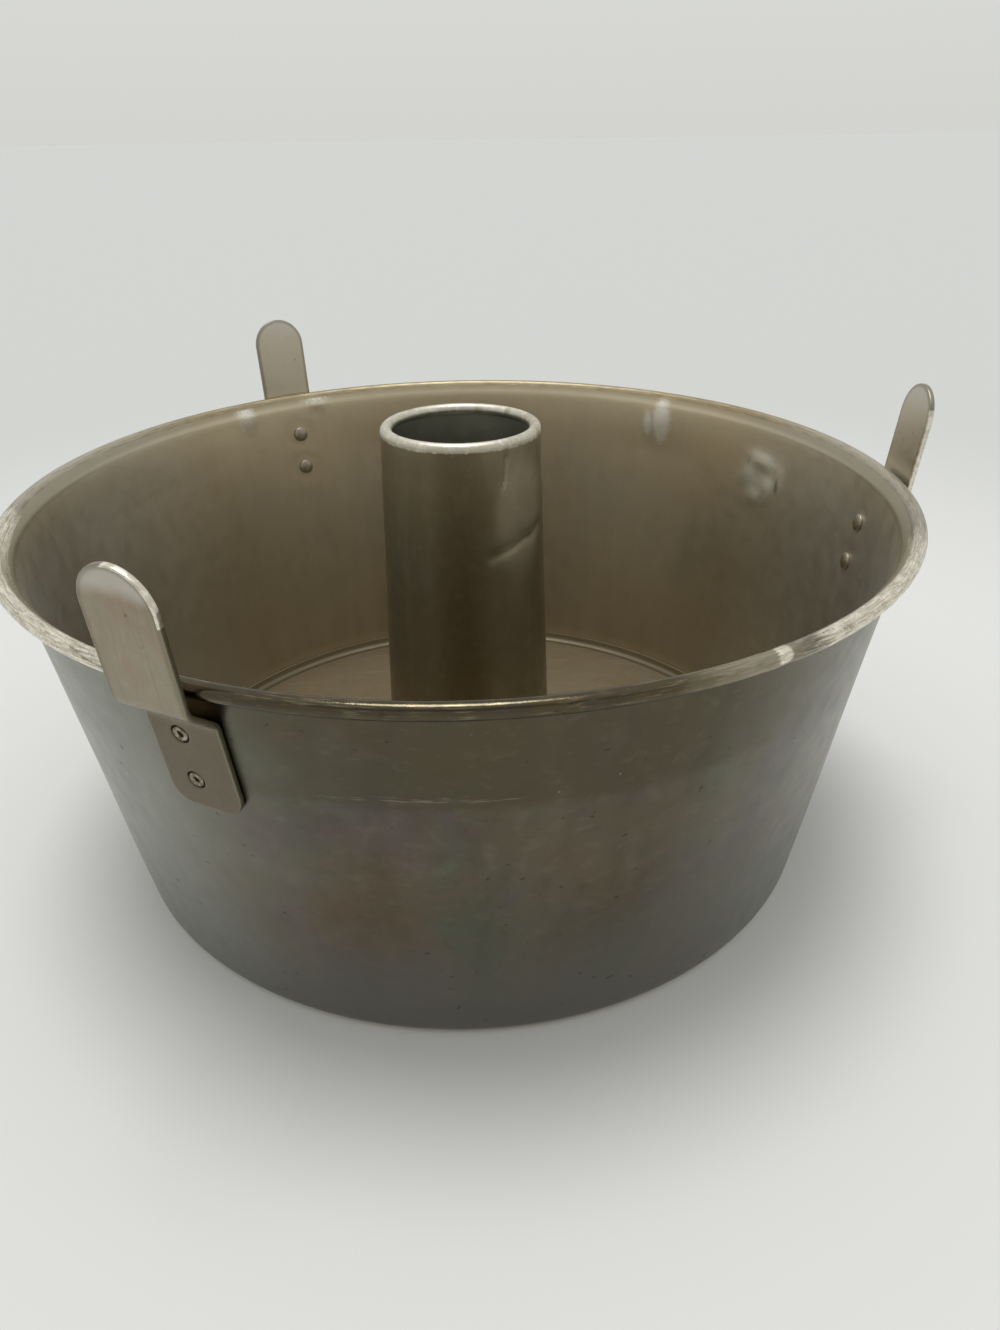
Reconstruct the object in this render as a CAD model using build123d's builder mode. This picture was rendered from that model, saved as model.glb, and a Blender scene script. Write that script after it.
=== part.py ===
from build123d import *

import math
import os

# Angel food cake pan: a flared sheet metal ring with a lift-out bottom and centre tube,
# and three cooling feet riveted under its rolled rim.
# Millimetres. The origin is on the pan's axis in the plane that it stands on, +Z is up,
# and the right-hand foot stands on +X.

os.makedirs("parts", exist_ok=True)

# The wall: one spun sheet, from the ledge that carries the bottom to the rolled rim
mouth_diameter = 254.0
bottom_inside_diameter = 220.0
pan_height = 112.0
wall_sheet = 0.8
bottom_bend_radius = 3.2
ledge_bore_diameter = 196.0
bead_diameter = 4.0
bead_curl_angle = 280.0
lip_flare = 1.6
lip_lean_angle = 35.0
lip_bend_radius = 3.0

# The lift-out bottom: a shallow dish that nests in the wall's lower bend
plate_sheet = 1.0
plate_gap = 0.3
plate_rim_height = 4.0
collar_height = 2.6
collar_bend_radius = 1.6

# The centre tube: tapered, its mouth rolled inwards, its foot turned out under the bottom
tube_height = 129.0
tube_mouth_diameter = 47.2
tube_foot_diameter = 55.4
tube_sheet = 0.8
tube_flange_width = 5.0
tube_bend_radius = 1.2
tube_curl_diameter = 3.4
tube_curl_angle = 250.0

# The feet: flat strips with a joggle that carries them out past the rim. They were riveted
# on by hand, so they aren't quite a third of a turn apart, the rear one stands a little
# higher, and the front one's rivets sit off its middle.
rear_left_foot_angle = 122.7
front_left_foot_angle = 243.2
front_left_rivet_lag_angle = 0.7
rear_left_foot_raise = 2.3
foot_width = 19.0
foot_sheet = 1.5
foot_seat_gap = 0.08
foot_bead_gap = 1.2
foot_lean_angle = 5.5
foot_rise = 28.0
foot_drop = 36.0
joggle_top_drop = 3.6
joggle_foot_drop = 10.0
foot_bend_radius = 1.5
foot_corner_radius = 5.0

# The rivets: two in each foot, one above the other, with a domed head inside the pan
# and a hollow tail spread in a shallow pocket on the outside
rivet_drops = {"upper": 15.0, "lower": 28.0}
rivet_shank_diameter = 3.2
rivet_head_diameter = 5.4
rivet_head_height = 1.2
rivet_head_edge = 0.4
rivet_tail_diameter = 4.0
rivet_tail_proud = 0.1
rivet_tail_rounding = 0.3
rivet_bore_diameter = 1.7
rivet_bore_depth = 1.1
rivet_pocket_diameter = 4.5
rivet_pocket_depth = 0.6

# How far a cutting shape runs past the face that it cuts
overrun = 5.0

# Sizes that several pieces share
bead_radius = bead_diameter / 2
bead_center_radius = mouth_diameter / 2 + bead_radius
bead_center_height = pan_height - bead_radius
wall_foot_radius = bottom_inside_diameter / 2
wall_top_radius = mouth_diameter / 2 - lip_flare
wall_lean_angle = math.degrees(
    math.atan2(wall_top_radius - wall_foot_radius, bead_center_height - wall_sheet)
)
foot_azimuths = {
    "right": 0.0,
    "rear_left": rear_left_foot_angle,
    "front_left": front_left_foot_angle,
}
rivet_azimuths = dict(
    foot_azimuths, front_left=front_left_foot_angle - front_left_rivet_lag_angle
)
foot_raises = {"right": 0.0, "rear_left": rear_left_foot_raise, "front_left": 0.0}


def slope(lean_angle):
    """Radius gained for each unit of height on a line that leans outwards by an angle."""
    return math.tan(math.radians(lean_angle))


def wall_inside_radius(height):
    """Radius of the wall's inner face at a height above the table."""
    return wall_foot_radius + (height - wall_sheet) * slope(wall_lean_angle)


def tube_outside_radius(height):
    """Radius of the centre tube's outer face at a height above the table."""
    taper = (tube_foot_diameter - tube_mouth_diameter) / 2 / tube_height
    return tube_foot_diameter / 2 - height * taper


def radial_plane(azimuth):
    """The upright plane at an azimuth: local x is the radius and local y is the height."""
    turn = math.radians(azimuth)
    return Plane(
        origin=(0, 0, 0),
        x_dir=(math.cos(turn), math.sin(turn), 0),
        z_dir=(math.sin(turn), -math.cos(turn), 0),
    )


def leaning_axes(lean_angle):
    """Directions up along a leaning face and square out of it, as (radius, height)."""
    lean = math.radians(lean_angle)
    up = Vector(math.sin(lean), math.cos(lean))
    out = Vector(math.cos(lean), -math.sin(lean))
    return up, out


# The wall's outer face, and the place on it level with the middle of the bead
wall_up, wall_out = leaning_axes(wall_lean_angle)
wall_datum = Vector(wall_top_radius, bead_center_height) + wall_out * wall_sheet


def rivet_plane(side, drop):
    """A rivet's long section: local y runs out along its axis from the foot's inner face."""
    center = wall_datum - wall_up * (drop - foot_raises[side]) + wall_out * foot_seat_gap
    frame = radial_plane(rivet_azimuths[side])
    along = frame.from_local_coords(wall_out) - frame.origin
    across = frame.z_dir
    return Plane(
        origin=frame.from_local_coords(center),
        x_dir=across,
        z_dir=across.cross(along),
    )


def all_rivet_planes(side):
    return [rivet_plane(side, drop) for drop in rivet_drops.values()]


# Pan wall. The lip leans out from the wall and runs straight into the curl of the bead.
curl_start_angle = 180.0 - lip_lean_angle
lip_end = Vector(bead_center_radius, bead_center_height) + Vector(bead_radius, 0).rotate(
    Axis.Z, curl_start_angle
)
lip_foot_height = lip_end.Y - (lip_end.X - wall_inside_radius(lip_end.Y)) / (
    slope(lip_lean_angle) - slope(wall_lean_angle)
)

with BuildPart() as pan_wall:
    with BuildSketch(radial_plane(0)):
        with BuildLine():
            FilletPolyline(
                (ledge_bore_diameter / 2, wall_sheet),
                (wall_foot_radius, wall_sheet),
                (wall_inside_radius(lip_foot_height), lip_foot_height),
                lip_end,
                radius=[bottom_bend_radius, lip_bend_radius],
            )
            CenterArc(
                (bead_center_radius, bead_center_height),
                radius=bead_radius,
                start_angle=curl_start_angle,
                arc_size=-bead_curl_angle,
            )
            offset(amount=wall_sheet, side=Side.RIGHT)
        make_face()
    revolve(axis=Axis.Z)
    for side in foot_azimuths:
        for plane in all_rivet_planes(side):
            with Locations(Location(Plane(plane.origin, z_dir=plane.y_dir))):
                Cylinder(
                    rivet_shank_diameter / 2,
                    wall_sheet + foot_seat_gap + overrun,
                    mode=Mode.SUBTRACT,
                )
pan_wall.part.label = "pan_wall"
export_step(pan_wall.part, "parts/pan_wall.step")

# Base plate. Its rim follows the wall's lower bend, and its collar hugs the centre tube.
plate_underside = wall_sheet
plate_rim_top = plate_underside + plate_rim_height
collar_top = plate_underside + plate_sheet + collar_height


def plate_outside_radius(height):
    """Radius of the plate's turned-up rim, a clearance inside the wall."""
    return wall_inside_radius(height) - plate_gap


with BuildPart() as base_plate:
    with BuildSketch(radial_plane(0)):
        with BuildLine():
            FilletPolyline(
                (tube_outside_radius(collar_top), collar_top),
                (tube_outside_radius(plate_underside), plate_underside),
                (plate_outside_radius(plate_underside), plate_underside),
                (plate_outside_radius(plate_rim_top), plate_rim_top),
                radius=[collar_bend_radius, bottom_bend_radius + plate_gap],
            )
            offset(amount=plate_sheet, side=Side.LEFT)
        make_face()
    revolve(axis=Axis.Z)
base_plate.part.label = "base_plate"
export_step(base_plate.part, "parts/base_plate.step")

# Centre tube. The curl of its mouth stays inside the line of its outer face.
tube_taper_angle = math.degrees(
    math.atan2((tube_foot_diameter - tube_mouth_diameter) / 2, tube_height)
)
curl_radius = tube_curl_diameter / 2
curl_center_height = tube_height - curl_radius
curl_center_radius = tube_outside_radius(curl_center_height) - curl_radius / math.cos(
    math.radians(tube_taper_angle)
)
curl_center = Vector(curl_center_radius, curl_center_height)
curl_foot = curl_center + Vector(curl_radius, 0).rotate(Axis.Z, tube_taper_angle)
flange_top = plate_underside

with BuildPart() as center_tube:
    with BuildSketch(radial_plane(0)):
        with BuildLine():
            FilletPolyline(
                (tube_outside_radius(flange_top) + tube_flange_width, flange_top),
                (tube_outside_radius(flange_top), flange_top),
                curl_foot,
                radius=tube_bend_radius,
            )
            CenterArc(
                curl_center,
                radius=curl_radius,
                start_angle=tube_taper_angle,
                arc_size=tube_curl_angle,
            )
            offset(amount=tube_sheet, side=Side.LEFT)
        make_face()
    revolve(axis=Axis.Z)
center_tube.part.label = "center_tube"
export_step(center_tube.part, "parts/center_tube.step")


# Cooling feet. The strip lies against the wall, steps out under the bead and rises past it.
foot_up, foot_out = leaning_axes(foot_lean_angle)
paddle_datum = Vector(bead_center_radius, bead_center_height) + foot_out * (
    bead_radius + foot_bead_gap
)
seat_datum = wall_datum + wall_out * foot_seat_gap


def make_foot(side):
    """One cooling foot: a bent strip with a round top, rounded lower corners and two rivet holes."""
    lift = foot_raises[side]
    strip_foot = seat_datum - wall_up * (foot_drop - lift)
    outline_foot = (strip_foot - paddle_datum).dot(foot_up)
    outline_shoulder = foot_rise + lift - foot_width / 2
    frame = radial_plane(foot_azimuths[side])
    front_center = frame.from_local_coords(paddle_datum)
    front_up = frame.from_local_coords(foot_up) - frame.origin
    front = Plane(front_center, x_dir=frame.z_dir, z_dir=frame.z_dir.cross(front_up))
    with BuildPart() as foot:
        with BuildSketch(frame):
            with BuildLine():
                FilletPolyline(
                    strip_foot,
                    seat_datum - wall_up * (joggle_foot_drop - lift),
                    paddle_datum - foot_up * (joggle_top_drop - lift),
                    paddle_datum + foot_up * (foot_rise + lift),
                    radius=[foot_bend_radius + foot_sheet, foot_bend_radius],
                )
                offset(amount=foot_sheet, side=Side.RIGHT)
            make_face()
        extrude(amount=foot_width / 2, both=True)
        with BuildSketch(front):
            with Locations((0, outline_foot)):
                Rectangle(
                    foot_width,
                    outline_shoulder - outline_foot,
                    align=(Align.CENTER, Align.MIN),
                )
            fillet(vertices().group_by(Axis.Y)[0], foot_corner_radius)
            with Locations((0, outline_shoulder)):
                Circle(foot_width / 2)
        extrude(amount=foot_drop, both=True, mode=Mode.INTERSECT)
        for plane in all_rivet_planes(side):
            along = Plane(plane.origin, z_dir=plane.y_dir)
            with Locations(Location(along)):
                Cylinder(
                    rivet_shank_diameter / 2,
                    foot_sheet + overrun,
                    mode=Mode.SUBTRACT,
                )
            with Locations(Location(along.offset(foot_sheet - rivet_pocket_depth))):
                Cylinder(
                    rivet_pocket_diameter / 2,
                    rivet_pocket_depth + overrun,
                    align=(Align.CENTER, Align.CENTER, Align.MIN),
                    mode=Mode.SUBTRACT,
                )
    return foot.part


# Rivets. The flat of the head bears on the curved wall at its two side edges.
head_radius = rivet_head_diameter / 2
shank_radius = rivet_shank_diameter / 2
tail_radius = rivet_tail_diameter / 2
bore_radius = rivet_bore_diameter / 2
head_seat = head_radius**2 / wall_foot_radius / 2
head_face = -(foot_seat_gap + wall_sheet + head_seat)
head_shoulder = head_face - rivet_head_edge
head_crown = head_face - rivet_head_height
tail_face = foot_sheet - rivet_pocket_depth
tail_top = foot_sheet + rivet_tail_proud
bore_floor = tail_top - rivet_bore_depth
tail_shoulder = tail_top - rivet_tail_rounding


def make_rivet(side, drop):
    """One rivet, turned about its own axis."""
    section = rivet_plane(side, drop)
    with BuildPart() as rivet:
        with BuildSketch(section):
            with BuildLine():
                Polyline(
                    (0, head_crown),
                    (0, bore_floor),
                    (bore_radius, bore_floor),
                    (bore_radius, tail_top),
                    (tail_radius - rivet_tail_rounding, tail_top),
                )
                RadiusArc(
                    (tail_radius - rivet_tail_rounding, tail_top),
                    (tail_radius, tail_shoulder),
                    rivet_tail_rounding,
                )
                Polyline(
                    (tail_radius, tail_shoulder),
                    (tail_radius, tail_face),
                    (shank_radius, tail_face),
                    (shank_radius, head_face),
                    (head_radius, head_face),
                    (head_radius, head_shoulder),
                )
                TangentArc((0, head_crown), (head_radius, head_shoulder), tangent=(1, 0))
            make_face()
        revolve(axis=Axis(section.origin, section.y_dir))
    return rivet.part


for side in foot_azimuths:
    foot = make_foot(side)
    foot.label = f"foot_{side}"
    export_step(foot, f"parts/{foot.label}.step")
    for height, drop in rivet_drops.items():
        rivet = make_rivet(side, drop)
        rivet.label = f"rivet_{side}_{height}"
        export_step(rivet, f"parts/{rivet.label}.step")
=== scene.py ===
# %% [markdown]
# # An angel food cake pan in tarnished aluminium
#
# The real pan has three parts. A tall ring with sloping sides is spun from one disc of
# aluminium and has a rolled rim. A flat bottom with a tube in its middle drops into it. Three
# flat feet, riveted outside, hold the pan off the table when it is turned over to cool.
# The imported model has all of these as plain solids. Here each one gets a finer mesh of the
# same size, and the finish that years of baking have left on it.

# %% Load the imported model
import math

import bmesh
import bpy
from mathutils import Euler, Matrix, Vector, noise


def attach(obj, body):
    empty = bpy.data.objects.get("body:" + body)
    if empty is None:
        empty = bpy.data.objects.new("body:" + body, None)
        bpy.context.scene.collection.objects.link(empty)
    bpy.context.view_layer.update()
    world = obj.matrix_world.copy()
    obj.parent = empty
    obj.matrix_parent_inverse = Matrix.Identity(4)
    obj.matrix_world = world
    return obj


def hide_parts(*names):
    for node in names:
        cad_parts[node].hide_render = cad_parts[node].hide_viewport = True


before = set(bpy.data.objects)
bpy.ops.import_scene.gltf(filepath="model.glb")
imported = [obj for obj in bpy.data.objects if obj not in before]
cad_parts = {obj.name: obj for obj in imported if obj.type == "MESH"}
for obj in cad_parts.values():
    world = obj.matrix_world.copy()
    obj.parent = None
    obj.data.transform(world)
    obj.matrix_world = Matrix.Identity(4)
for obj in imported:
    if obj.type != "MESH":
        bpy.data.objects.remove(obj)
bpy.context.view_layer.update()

# %% [markdown]
# ## The camera
#
# The photograph was taken by hand, close to the pan and from above its rim, with a wide lens.
# A camera could be placed by eye. This one was solved instead, from the ellipses that the rim,
# the tube's mouth and the pan's foot make in the picture, so the mesh can be compared with the
# photograph pixel by pixel. Yaw turns it to the right, pitch tips it down, and roll is the
# slight tilt of the hand.

# %% Place the camera
MM = 0.001
scene = bpy.context.scene
scene.view_settings.view_transform = "Standard"

camera_place = Vector((5.93, -277.97, 203.37)) * MM
camera_yaw, camera_pitch, camera_roll = 0.0169, 0.5125, -0.014
picture_height, focal_pixels = 1330, 950
film_mm = 36


def camera_turn(yaw, pitch, roll):
    """The camera's rotation from its three angles: it looks down its own -Z, with +Y up."""
    forward = Vector(
        (math.sin(yaw) * math.cos(pitch), math.cos(yaw) * math.cos(pitch), -math.sin(pitch))
    )
    right = Vector((math.cos(yaw), -math.sin(yaw), 0))
    up = right.cross(forward)
    tilted_right = math.cos(roll) * right + math.sin(roll) * up
    tilted_up = math.cos(roll) * up - math.sin(roll) * right
    return Matrix((tilted_right, tilted_up, -forward)).transposed()


camera_data = bpy.data.cameras.new("photo_camera")
camera_data.sensor_width = film_mm
camera_data.lens = focal_pixels / picture_height * film_mm
camera_data.clip_start = 0.01
camera = bpy.data.objects.new("photo_camera", camera_data)
scene.collection.objects.link(camera)
camera.matrix_world = Matrix.LocRotScale(
    camera_place, camera_turn(camera_yaw, camera_pitch, camera_roll), None
)
scene.camera = camera
away = round(camera_place.length / MM)
print("camera", away, "mm from the pan's foot, lens", round(camera_data.lens, 2), "mm")

# %% [markdown]
# ## Nodes and colours
#
# Every material, the world and the Geometry Nodes trees are node graphs. One helper adds a
# node, sets what it is given and links what is a socket, so that a graph reads like a list of
# its nodes. Colours are written as they look on a screen, in sRGB hex, and one function turns
# them to the linear values that the renderer works in.


# %% Helpers for node graphs
def linear(hex_color, alpha=1.0):
    """An sRGB colour such as 'c9c2b0' as linear red, green, blue and alpha."""
    channels = [int(hex_color[i : i + 2], 16) / 255 for i in (0, 2, 4)]
    return [c / 12.92 if c <= 0.04045 else ((c + 0.055) / 1.055) ** 2.4 for c in channels] + [alpha]


def add(tree, kind, inputs=None, stops=None, **settings):
    """Adds a node. Inputs are values or sockets by name or number, stops are a ramp's colours."""
    node = tree.nodes.new(kind)
    for name, value in settings.items():
        setattr(node, name, value)
    for key, value in (inputs or {}).items():
        if isinstance(value, bpy.types.NodeSocket):
            tree.links.new(value, node.inputs[key])
        else:
            node.inputs[key].default_value = value
    if stops:
        elements = node.color_ramp.elements
        while len(elements) < len(stops):
            elements.new(1.0)
        for element, (position, color) in zip(elements, stops):
            element.position, element.color = position, color
    return node
def emptied(owner):
    """The node tree of a new material or world, without the nodes that it comes with."""
    owner.use_nodes = True
    owner.node_tree.nodes.clear()
    return owner.node_tree
print("mid grey 808080 is", round(linear("808080")[0], 3), "in linear light")

# %% [markdown]
# ## Floor and light
#
# The pan stands in a pale tent that wraps white cloth round it on three sides. Walls of cloth
# would hide the pan from the other views, so a wide pale floor runs to the horizon and the sky
# itself is the cloth: pale all round, brightest overhead, and dim high up on the
# photographer's side, where the tent is open. One broad lamp overhead draws the bright line
# along the rim. Their sum lights a flat white card to about white.

# %% Lay the floor
floor_reach = 30.0
floor_mesh = bpy.data.meshes.new("tent_floor")
floor_mesh.from_pydata(
    [(x, y, 0) for x, y in ((-1, -1), (1, -1), (1, 1), (-1, 1))], [], [(0, 1, 2, 3)]
)
floor_mesh.transform(Matrix.Scale(floor_reach, 4))
floor = bpy.data.objects.new("tent_floor", floor_mesh)
scene.collection.objects.link(floor)

cloth = bpy.data.materials.new("tent_cloth")
tree = emptied(cloth)
# The floor is painted paler near the pan, fading to the far colour from 15 to 60 cm out: a painted
# pool of light that lifts the shade round the pan.
place = add(tree, "ShaderNodeTexCoord").outputs["Object"]
away = add(tree, "ShaderNodeVectorMath", {0: place}, operation="LENGTH").outputs["Value"]
inputs = {"Value": away, "From Min": 0.15, "From Max": 0.6}
farness = add(tree, "ShaderNodeMapRange", inputs, interpolation_type="SMOOTHSTEP").outputs[0]
shades = [(0.0, linear("d9d9d6")), (1.0, linear("c4c5c2"))]
shade = add(tree, "ShaderNodeValToRGB", {0: farness}, stops=shades).outputs["Color"]
inputs = {"Base Color": shade, "Roughness": 0.9, "Specular IOR Level": 0.1}
surface = add(tree, "ShaderNodeBsdfPrincipled", inputs)
add(tree, "ShaderNodeOutputMaterial", {"Surface": surface.outputs[0]})
floor_mesh.materials.append(cloth)
print("floor", 2 * floor_reach, "m wide")

# %% Light the tent
world = bpy.data.worlds.new("tent")
scene.world = world
tree = emptied(world)
direction = add(tree, "ShaderNodeTexCoord").outputs["Generated"]
axes = add(tree, "ShaderNodeSeparateXYZ", {0: direction}).outputs
shades = [(0.0, linear("d3d4d0")), (0.35, linear("e0e1df")), (1.0, linear("ebecee"))]
sky = add(tree, "ShaderNodeValToRGB", {0: axes["Z"]}, stops=shades).outputs["Color"]
# The open side of the tent is towards the photographer and well above the horizon
tent_mouth = 1.0
for axis, low, high in (("Y", -0.35, -0.8), ("Z", 0.2, 0.6)):
    inputs = {"Value": axes[axis], "From Min": low, "From Max": high}
    share = add(tree, "ShaderNodeMapRange", inputs, interpolation_type="SMOOTHSTEP").outputs[0]
    inputs = {0: tent_mouth, 1: share}
    tent_mouth = add(tree, "ShaderNodeMath", inputs, operation="MULTIPLY").outputs[0]
inputs = {0: tent_mouth, 6: sky, 7: linear("a4a4a0")}
dimmed = add(tree, "ShaderNodeMix", inputs, data_type="RGBA").outputs[2]
background = add(tree, "ShaderNodeBackground", {"Color": dimmed, "Strength": 1.0})
add(tree, "ShaderNodeOutputWorld", {"Surface": background.outputs[0]})

lamp_data = bpy.data.lights.new("overhead_lamp", "SUN")
lamp_data.energy = 1.4
lamp_data.angle = math.radians(25)
lamp = bpy.data.objects.new("overhead_lamp", lamp_data)
lamp.rotation_euler = Euler((math.radians(-5), math.radians(-3), 0))
scene.collection.objects.link(lamp)
print("lamp strength", lamp_data.energy, "over", round(math.degrees(lamp_data.angle)), "degrees")

# %% [markdown]
# ## Drawing sheet metal in section
#
# Every part of this pan is sheet: a line bent in a few places, with a thickness on one side.
# So each piece starts as the line that its maker would bend. `bent` rounds its corners,
# `arc` adds a curl, `finer` divides long runs so that dents have vertices to move, and
# `sheet` gives the line its thickness and closes it.


# %% Helpers for a sheet's section, in millimetres
def left_of(direction):
    return Vector((-direction.y, direction.x))


def turned(vector, angle):
    return Vector(
        (
            vector.x * math.cos(angle) - vector.y * math.sin(angle),
            vector.x * math.sin(angle) + vector.y * math.cos(angle),
        )
    )


def leaning(angle):
    """Unit vectors up along a line that leans outwards by an angle, and square out of it."""
    lean = math.radians(angle)
    return Vector((math.sin(lean), math.cos(lean))), Vector((math.cos(lean), -math.sin(lean)))


def bent(corners, radii, step=9.0):
    """A line of straight runs, with an arc of its own radius at each inner corner."""
    line = [Vector(corners[0])]
    for before, corner, after, radius in zip(corners, corners[1:], corners[2:], radii):
        into = (Vector(corner) - Vector(before)).normalized()
        out = (Vector(after) - Vector(corner)).normalized()
        turn = math.atan2(into.x * out.y - into.y * out.x, into.dot(out))
        start = Vector(corner) - into * radius * math.tan(abs(turn) / 2)
        center = start + math.copysign(radius, turn) * left_of(into)
        count = max(2, math.ceil(math.degrees(abs(turn)) / step))
        line += [center + turned(start - center, turn * i / count) for i in range(count + 1)]
    return line + [Vector(corners[-1])]


def arc(center, radius, start, size, step=12.0):
    """Points on an arc after its first, from a start angle through a size in degrees."""
    count = math.ceil(abs(size) / step)
    return [
        Vector(center) + turned(Vector((radius, 0)), math.radians(start + size * i / count))
        for i in range(1, count + 1)
    ]


def finer(line, longest):
    """The same line with points added on every run longer than a length."""
    result = [line[0]]
    for a, b in zip(line, line[1:]):
        count = max(1, math.ceil((b - a).length / longest))
        result += [a.lerp(b, i / count) for i in range(1, count + 1)]
    return result


def normals_of(line):
    """The unit vector to the left of the line at each of its points."""
    found = []
    for i in range(len(line)):
        before, after = line[max(i - 1, 0)], line[min(i + 1, len(line) - 1)]
        runs = [r.normalized() for r in (line[i] - before, after - line[i]) if r.length > 0]
        found.append(left_of(sum(runs, Vector((0, 0))).normalized()))
    return found


def sheet(line, thickness):
    """The closed section of a sheet with the line as one face. Positive is to its left."""
    other = [p + n * thickness for p, n in zip(line, normals_of(line))]
    return line + other[::-1]


print("a right angle of radius 3 has", len(bent([(0, 0), (10, 0), (10, 10)], [3])) - 2, "points")

# %% [markdown]
# ## Turning a section into a ring
#
# A spun pan is the same section all the way round, which is a rule, so Geometry Nodes can
# follow it. The tree lays the section along a circle with Curve to Mesh. Its inputs are the
# number of steps round the ring and the material. A lathe or the Spin operator would give the
# same ring; the tree keeps the number of steps as a named input, so the wall can be finer
# than the bottom. A closed section on a closed circle has no seam and no pole.

# %% Build the tree that turns a section
def new_tree(name, inputs, output):
    """A Geometry Nodes tree with named inputs and one output, and the sockets of its inputs."""
    tree = bpy.data.node_groups.new(name, "GeometryNodeTree")
    for label, kind in inputs.items():
        tree.interface.new_socket(name=label, in_out="INPUT", socket_type="NodeSocket" + kind)
    tree.interface.new_socket(name=output, in_out="OUTPUT", socket_type="NodeSocketGeometry")
    return tree, add(tree, "NodeGroupInput").outputs


def end_tree(tree, made, finish):
    """Ends a tree: what it made becomes real geometry, gets its material and is handed out."""
    real = add(tree, "GeometryNodeRealizeInstances", {"Geometry": made}).outputs[0]
    inputs = {"Geometry": real, "Material": finish}
    finished = add(tree, "GeometryNodeSetMaterial", inputs).outputs[0]
    add(tree, "NodeGroupOutput", {0: finished})


ring_radius = 60 * MM
inputs = {"Section": "Geometry", "Steps": "Int", "Finish": "Material"}
turning, given = new_tree("turn_a_section", inputs, "Ring")
inputs = {"Resolution": given["Steps"], "Radius": ring_radius}
circle = add(turning, "GeometryNodeCurvePrimitiveCircle", inputs).outputs[0]
section_curve = add(turning, "GeometryNodeMeshToCurve", {"Mesh": given["Section"]}).outputs[0]
inputs = {"Curve": circle, "Profile Curve": section_curve}
ring = add(turning, "GeometryNodeCurveToMesh", inputs).outputs[0]
smooth_ring = add(turning, "GeometryNodeSetShadeSmooth", {"Geometry": ring}).outputs[0]
end_tree(turning, smooth_ring, given["Finish"])


def bake(piece, modifier):
    """Gives a piece the mesh that its modifier makes of it, and removes the modifier."""
    depsgraph = bpy.context.evaluated_depsgraph_get()
    result = bpy.data.meshes.new_from_object(piece.evaluated_get(depsgraph))
    piece.modifiers.remove(modifier)
    piece.data = result


def with_tree(name, mesh, tree, values):
    """Runs a Geometry Nodes tree on a mesh and returns the result as a plain mesh object."""
    piece = bpy.data.objects.new(name, mesh)
    modifier = piece.modifiers.new("tree", "NODES")
    modifier.node_group = tree
    sockets = {s.name: s.identifier for s in tree.interface.items_tree if s.in_out == "INPUT"}
    for label, value in values.items():
        modifier[sockets[label]] = value
    scene.collection.objects.link(piece)
    bake(piece, modifier)
    piece.data.name = name
    return piece


def face_outwards(mesh, sharp_angle=40.0):
    """Merges doubles, points every face outwards and marks the real creases as sharp."""
    work = bmesh.new()
    work.from_mesh(mesh)
    bmesh.ops.remove_doubles(work, verts=work.verts, dist=1e-6)
    bmesh.ops.recalc_face_normals(work, faces=work.faces)
    if work.calc_volume(signed=True) < 0:
        bmesh.ops.reverse_faces(work, faces=work.faces)
    work.to_mesh(mesh)
    work.free()
    mesh.set_sharp_from_angle(angle=math.radians(sharp_angle))


def turn_section(name, section, steps, material):
    """A ring from a closed section of (radius, height) points in millimetres."""
    mesh = bpy.data.meshes.new(name + "_section")
    points = [(p.x * MM - ring_radius, -p.y * MM, 0) for p in section]
    mesh.from_pydata(points, [(i, (i + 1) % len(points)) for i in range(len(points))], [])
    piece = with_tree(name, mesh, turning, {"Steps": steps, "Finish": material})
    face_outwards(piece.data)
    print(name, len(piece.data.vertices), "vertices", len(piece.data.polygons), "faces")
    return piece


# %% [markdown]
# ## The tarnish
#
# Aluminium that is baked in and washed for years loses its shine. Its oxide grows thick and
# brown, with cloudy olive and violet tints, fine rubbed scratches, and bare bright metal where
# the rim and the feet get knocked. It is still metal, so every finish here is a metallic
# Principled shader with a satin roughness. Each finish could be drawn as its own graph. They
# are all built of the same few things, though, so one function draws them from tables:
#
# - patterns are noises with the real size of their patches in millimetres, and how far they
#   are drawn out along each axis;
# - marks are attributes that the mesh carries, such as where it is worn;
# - sums add patterns to marks, so that the edge of a mark comes out ragged;
# - coats lie one over another, each with a ground colour, a roughness, where it lies, and a
#   table of tones: the signal that draws it, the range over which it comes in, its most, and
#   its colour;
# - relief says which patterns stand out of the surface, for a bump of some hundredths of a mm.


# %% Draw a metal from its tables
# The bump's strength and depth, and the range of a noise over which roughness changes
bump_strength, bump_mm = 0.5, 0.15
noise_low, noise_high = 0.3, 0.7


def coat(ground, rough, where, table):
    """A coat. A row of its table is a tone over the ground: signal, low, high, amount, color."""
    rows = [row.split() for row in table.strip().splitlines()]
    tones = [(signal, *map(float, numbers), tint) for signal, *numbers, tint in rows]
    return ground, tones, rough, where


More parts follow.
